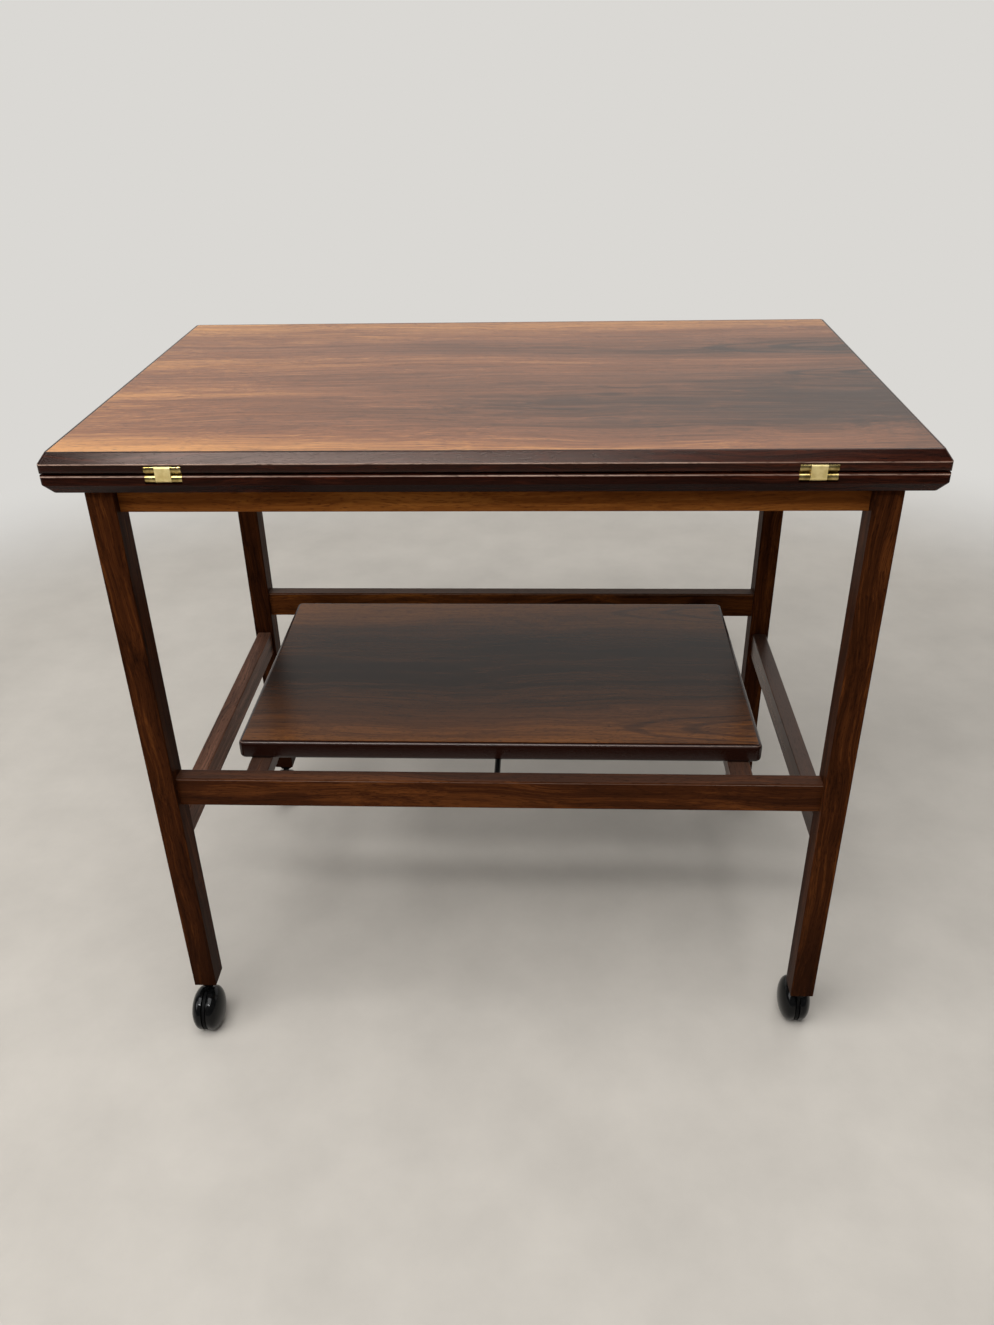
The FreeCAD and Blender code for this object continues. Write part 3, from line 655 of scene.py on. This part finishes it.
class TROLLEY_OT_frame(bpy.types.Operator):
    """Finish the legs, aprons, stretchers and runners"""
    bl_idname = "trolley.frame"
    bl_label = "Frame"

    def execute(self, context):
        timber = context.scene.trolley_timber
        oiled = Polish(roughness=0.38, gloss=0.02, tint=timber.amber, grain=0.12)
        rubbed_oil = Polish(roughness=0.32, gloss=0.08, tint=timber.amber, grain=0.12)
        waxed = Polish(roughness=0.28, gloss=0.42, tint=timber.glow, grain=0.12)
        tones = (timber.bar_pale, timber.bar_mid, timber.bar_dark)
        # Legs darker towards the floor
        dress(rosewood("Rosewood leg", "Z", tones, LOG_PLACES["leg"], oiled, contrast=1.3, foot=0.75),
              *("leg_" + corner for corner in CORNERS))
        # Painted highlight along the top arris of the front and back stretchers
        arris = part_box("stretcher_front")[1].z - timber.highlight_width
        # Paler, painted-light copy of the bar tones for the back stretcher
        back_lit_tones = (timber.back_lit_pale, timber.back_lit_mid, timber.bar_dark)
        # Painted sheen on the stretchers' top faces, much more on the back one
        for side, board, top_sheen in (("front", tones, 0.22), ("back", back_lit_tones, 0.8)):
            dress(rosewood(f"Rosewood {side} stretcher", "X", board, LOG_PLACES["long stretcher"], rubbed_oil,
                           contrast=1.5, weights=RAIL_FIGURE, top_sheen=top_sheen, arris_highlight=((arris, 0.4),)),
                  "stretcher_" + side)
        # Painted sheen on the top faces of the right stretcher and the tray rails
        dress(rosewood("Rosewood side stretcher", "Y", tones, LOG_PLACES["side stretcher"], waxed,
                       contrast=1.3, top_sheen=0.42),
              "stretcher_right", "tray_rail_left", "tray_rail_right")
        # Painted light: paler tones on the left stretcher, which the light from the left falls on
        left_lit_tones = (timber.left_lit_pale, timber.left_lit_mid, timber.bar_dark)
        dress(rosewood("Rosewood left stretcher", "Y", left_lit_tones, LOG_PLACES["side stretcher"], rubbed_oil,
                       contrast=1.3, top_sheen=0.35),
              "stretcher_left")
        tones = (timber.apron_pale, timber.apron_mid, timber.apron_dark)
        dress(rosewood("Pale rosewood apron", "X", tones, LOG_PLACES["apron"], oiled),
              "apron_front", "apron_back")
        dress(rosewood("Pale rosewood end apron", "Y", tones, LOG_PLACES["end apron"], oiled),
              "apron_left", "apron_right", "runner_left", "runner_right")
        return {"FINISHED"}


class TROLLEY_OT_tray(bpy.types.Operator):
    """Finish the tray and its rod and screws"""
    bl_idname = "trolley.tray"
    bl_label = "Tray"

    def execute(self, context):
        timber = context.scene.trolley_timber
        tones = (timber.tray_pale, timber.tray_mid, timber.tray_dark)
        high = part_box("tray_board")[1]
        heart = Heart(high.y, high.x, TRAY_HEART, TRAY_HEART)
        lipping = ((high.x - timber.tray_lip, high.y - timber.tray_lip, 0), timber.tray_rim)
        polish = Polish(roughness=0.22, gloss=0.30, tint=WHITE, grain=0.05)
        # Painted highlight along the crest of the tray's rounded edge
        dress(rosewood("Rosewood tray", "X", tones, LOG_PLACES["tray"], polish, contrast=1.2, heart=heart,
                       arches=TRAY_ARCHES, lipping=lipping, arris_highlight=((high.z - timber.highlight_width, 0.35),)),
              "tray_board")
        dress(moulded_black("Black lacquered rod", roughness=0.3, gloss=0.3), "tray_rod")
        dress(plain_steel("Steel screw"), "tray_screws", "runner_screws")
        return {"FINISHED"}


class TROLLEY_OT_hinges(bpy.types.Operator):
    """Finish the brass link hinges"""
    bl_idname = "trolley.hinges"
    bl_label = "Hinges"

    def execute(self, context):
        metal = context.scene.trolley_metal
        dress(brass("Matt brass", metal.link, metal.link_dull, smooth=0.42, rough=0.60), "hinge_links")
        polished = brass("Polished brass", metal.brass, metal.brass_dull, smooth=0.12, rough=0.30)
        for leaf in ("upper", "lower"):
            dress(polished, *(f"{leaf}_hinge_{piece}" for piece in ("plates", "pins", "screws")))
        return {"FINISHED"}


class TROLLEY_OT_casters(bpy.types.Operator):
    """Model the domed wheels and finish the casters"""
    bl_idname = "trolley.casters"
    bl_label = "Casters"

    def execute(self, context):
        gap = context.scene.trolley_metal.wheel_gap
        glossy = moulded_black("Glossy black plastic", roughness=0.05, gloss=0.2)
        matt = moulded_black("Matt black plastic", roughness=0.45, gloss=0.06)
        steel = plain_steel("Caster steel")
        dress(steel, "caster_sockets")
        for corner in CORNERS:
            caster = "caster_" + corner
            low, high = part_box(caster + "_wheels")
            middle = (low + high) / 2
            radius = (high.z - low.z) / 2
            centre = (middle.y, middle.z)
            pair = domed_disc(caster + "_wheel_pair", middle.x + gap, high.x, centre, radius)
            left = domed_disc(caster + "_wheel_left", middle.x - gap, low.x, centre, radius)
            deselect()
            left.select_set(True)
            pair.select_set(True)
            context.view_layer.objects.active = pair
            bpy.ops.object.join()
            bpy.ops.object.shade_smooth_by_angle(angle=SMOOTH_ANGLE)
            pair.data.materials.clear()
            pair.data.materials.append(glossy)
            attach(pair, "wheels_" + corner)
            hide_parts(caster + "_wheels")
            dress(matt, caster + "_yoke")
            dress(steel, caster + "_stem", caster + "_axle")
        return {"FINISHED"}


class TROLLEY_OT_studio(bpy.types.Operator):
    """Build the pale floor with its backdrop, the soft light and the camera"""
    bl_idname = "trolley.studio"
    bl_label = "Studio"

    def execute(self, context):
        studio = context.scene.trolley_studio
        self.backdrop(studio)
        self.lights(context, studio)
        self.camera(context, studio)
        context.scene.view_settings.view_transform = "Standard"
        return {"FINISHED"}

    def backdrop(self, studio):
        """Floor that sweeps up into a wall behind the trolley."""
        deselect()
        bpy.ops.mesh.primitive_plane_add(size=2 * FLOOR_REACH,
                                         location=(0, studio.wall_place - FLOOR_REACH, 0))
        sweep = bpy.context.object
        sweep.name = "studio_sweep"
        bpy.ops.object.transform_apply(location=True, rotation=True, scale=True)
        bpy.ops.object.mode_set(mode="EDIT")
        pick(sweep, "EDGE", lambda e: all(abs(v.co.y - studio.wall_place) < TOUCH for v in e.verts))
        bpy.ops.mesh.extrude_region_move(TRANSFORM_OT_translate={"value": (0, 0, FLOOR_REACH)})
        pick(sweep, "EDGE", lambda e: all(abs(v.co.y - studio.wall_place) + abs(v.co.z) < TOUCH
                                          for v in e.verts))
        bpy.ops.mesh.bevel(offset=SWEEP, segments=16, profile=0.5, affect="EDGES")
        bpy.ops.object.mode_set(mode="OBJECT")
        bpy.ops.object.shade_smooth()
        sweep.data.materials.append(floor_paint("Pale floor paint", studio))

    def lights(self, context, studio):
        """Wide soft lamps overhead, at the front, left and back, and even light all round."""
        for name, power, size, place, aim in LAMPS:
            deselect()
            bpy.ops.object.light_add(type="AREA", location=place)
            lamp = context.object
            lamp.name = name
            lamp.data.shape = "RECTANGLE"
            lamp.data.size, lamp.data.size_y = size
            lamp.data.energy = power
            toward = Vector(aim) - Vector(place)
            lamp.rotation_euler = toward.to_track_quat("-Z", "Y").to_euler()
        world = bpy.data.worlds.new("Even daylight")
        context.scene.world = world
        world.use_nodes = True
        tree = world.node_tree
        ray = add(tree, "ShaderNodeLightPath", {}, {})
        dim = tuple(studio.daylight_strength * c for c in studio.daylight)
        seen = add(tree, "ShaderNodeMix", {"data_type": "RGBA"},
                   {0: ray.outputs["Is Camera Ray"], 6: rgba(dim), 7: rgba(studio.wall)})
        tree.links.new(seen.outputs[2], tree.nodes["Background"].inputs["Color"])

    def camera(self, context, studio):
        """Camera at the height and angle of the photograph."""
        deselect()
        bpy.ops.object.camera_add(location=(studio.camera_x, studio.camera_y, studio.camera_z))
        camera = context.object
        camera.name = "camera"
        turn = (Matrix.Rotation(studio.yaw, 3, "Z") @ Matrix.Rotation(studio.pitch, 3, "X")
                @ Matrix.Rotation(studio.roll, 3, "Y") @ Matrix.Rotation(math.pi / 2, 3, "X"))
        camera.rotation_euler = turn.to_euler()
        camera.data.sensor_width = FRAME_WIDTH
        camera.data.lens = studio.lens
        context.scene.camera = camera


OPERATORS = (TROLLEY_OT_top, TROLLEY_OT_frame, TROLLEY_OT_tray, TROLLEY_OT_hinges,
             TROLLEY_OT_casters, TROLLEY_OT_studio)
GROUPS = {"trolley_timber": TrolleyTimber, "trolley_metal": TrolleyMetal, "trolley_studio": TrolleyStudio}


class TROLLEY_PT_panel(bpy.types.Panel):
    """Steps that finish the trolley"""
    bl_idname = "TROLLEY_PT_panel"
    bl_label = "Trolley"
    bl_space_type = "VIEW_3D"
    bl_region_type = "UI"
    bl_category = "Trolley"

    def draw(self, context):
        for operator in OPERATORS:
            self.layout.operator(operator.bl_idname)


def register():
    for group in GROUPS.values():
        bpy.utils.register_class(group)
    for name, group in GROUPS.items():
        setattr(bpy.types.Scene, name, bpy.props.PointerProperty(type=group))
    for operator in OPERATORS:
        bpy.utils.register_class(operator)
    bpy.utils.register_class(TROLLEY_PT_panel)


def unregister():
    bpy.utils.unregister_class(TROLLEY_PT_panel)
    for operator in reversed(OPERATORS):
        bpy.utils.unregister_class(operator)
    for name, group in reversed(GROUPS.items()):
        delattr(bpy.types.Scene, name)
        bpy.utils.unregister_class(group)


def main():
    register()
    bpy.ops.trolley.top()
    bpy.ops.trolley.frame()
    bpy.ops.trolley.tray()
    bpy.ops.trolley.hinges()
    bpy.ops.trolley.casters()
    bpy.ops.trolley.studio()


if __name__ == "__main__":
    main()
